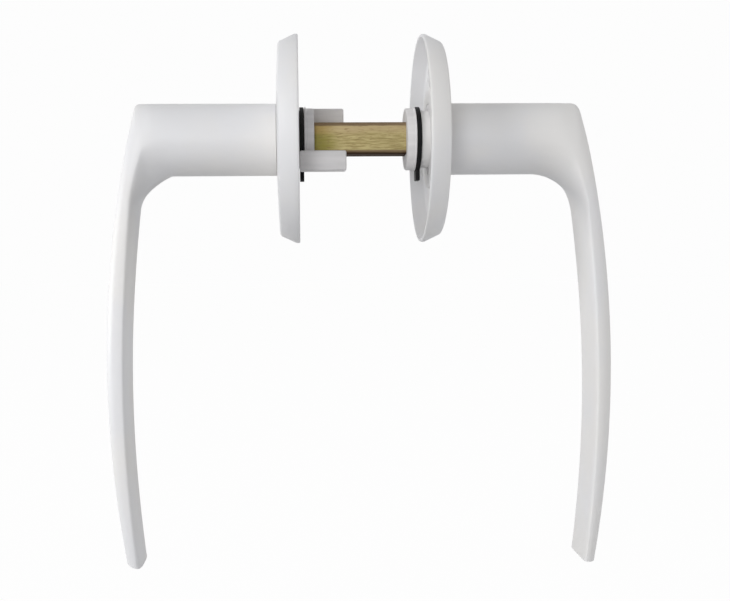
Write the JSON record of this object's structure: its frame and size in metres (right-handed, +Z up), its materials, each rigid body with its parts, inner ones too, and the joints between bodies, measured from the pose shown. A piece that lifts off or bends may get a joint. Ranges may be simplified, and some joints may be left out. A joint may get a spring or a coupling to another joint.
{
  "type": "split spindle door handle",
  "caption": "White lever door handles on round roses, with a drive claw on one lever and a square spindle that runs freely through it, so that the levers turn independently.",
  "frame": {"origin": "on the spindle's axis, in the plane of the left rose's rim, which lies on the door", "axes": "+X along the spindle from the left lever to the right one, +Z up, with the levers hanging down along -Z"},
  "size_m": [0.1281, 0.052, 0.1343],
  "materials": {
    "white_coat": "satin white powder coat on a light alloy casting",
    "white_nylon": "matt moulded nylon",
    "black_washer": "matt black",
    "yellow_zinc": "drawn square bar, zinc plated and yellow passivated",
    "black_steel": "black oxide"
  },
  "bodies": {
    "left_rose": {"left_rose": "white_coat", "left_bush": "white_nylon"},
    "left_lever": {"left_lever": "white_coat", "left_claw": "white_nylon", "left_washer": "black_washer"},
    "right_rose": {"right_rose": "white_coat", "right_bush": "white_nylon"},
    "right_lever": {"right_lever": "white_coat", "spindle": "yellow_zinc", "right_collar": "white_nylon", "right_washer": "black_washer", "right_grub_screw": "black_steel"}
  },
  "joints": [
    {"name": "left_lever_turn", "type": "hinge", "parent": "left_rose", "child": "left_lever", "pos_m": [0, 0, 0], "axis": [1, 0, 0], "continuous": true},
    {"name": "door_thickness", "type": "slide", "parent": "left_rose", "child": "right_rose", "axis": [1, 0, 0], "range_m": [-0.013, 0.011]},
    {"name": "right_lever_turn", "type": "hinge", "parent": "right_rose", "child": "right_lever", "pos_m": [0.0305, 0, 0], "axis": [1, 0, 0], "continuous": true}
  ]
}
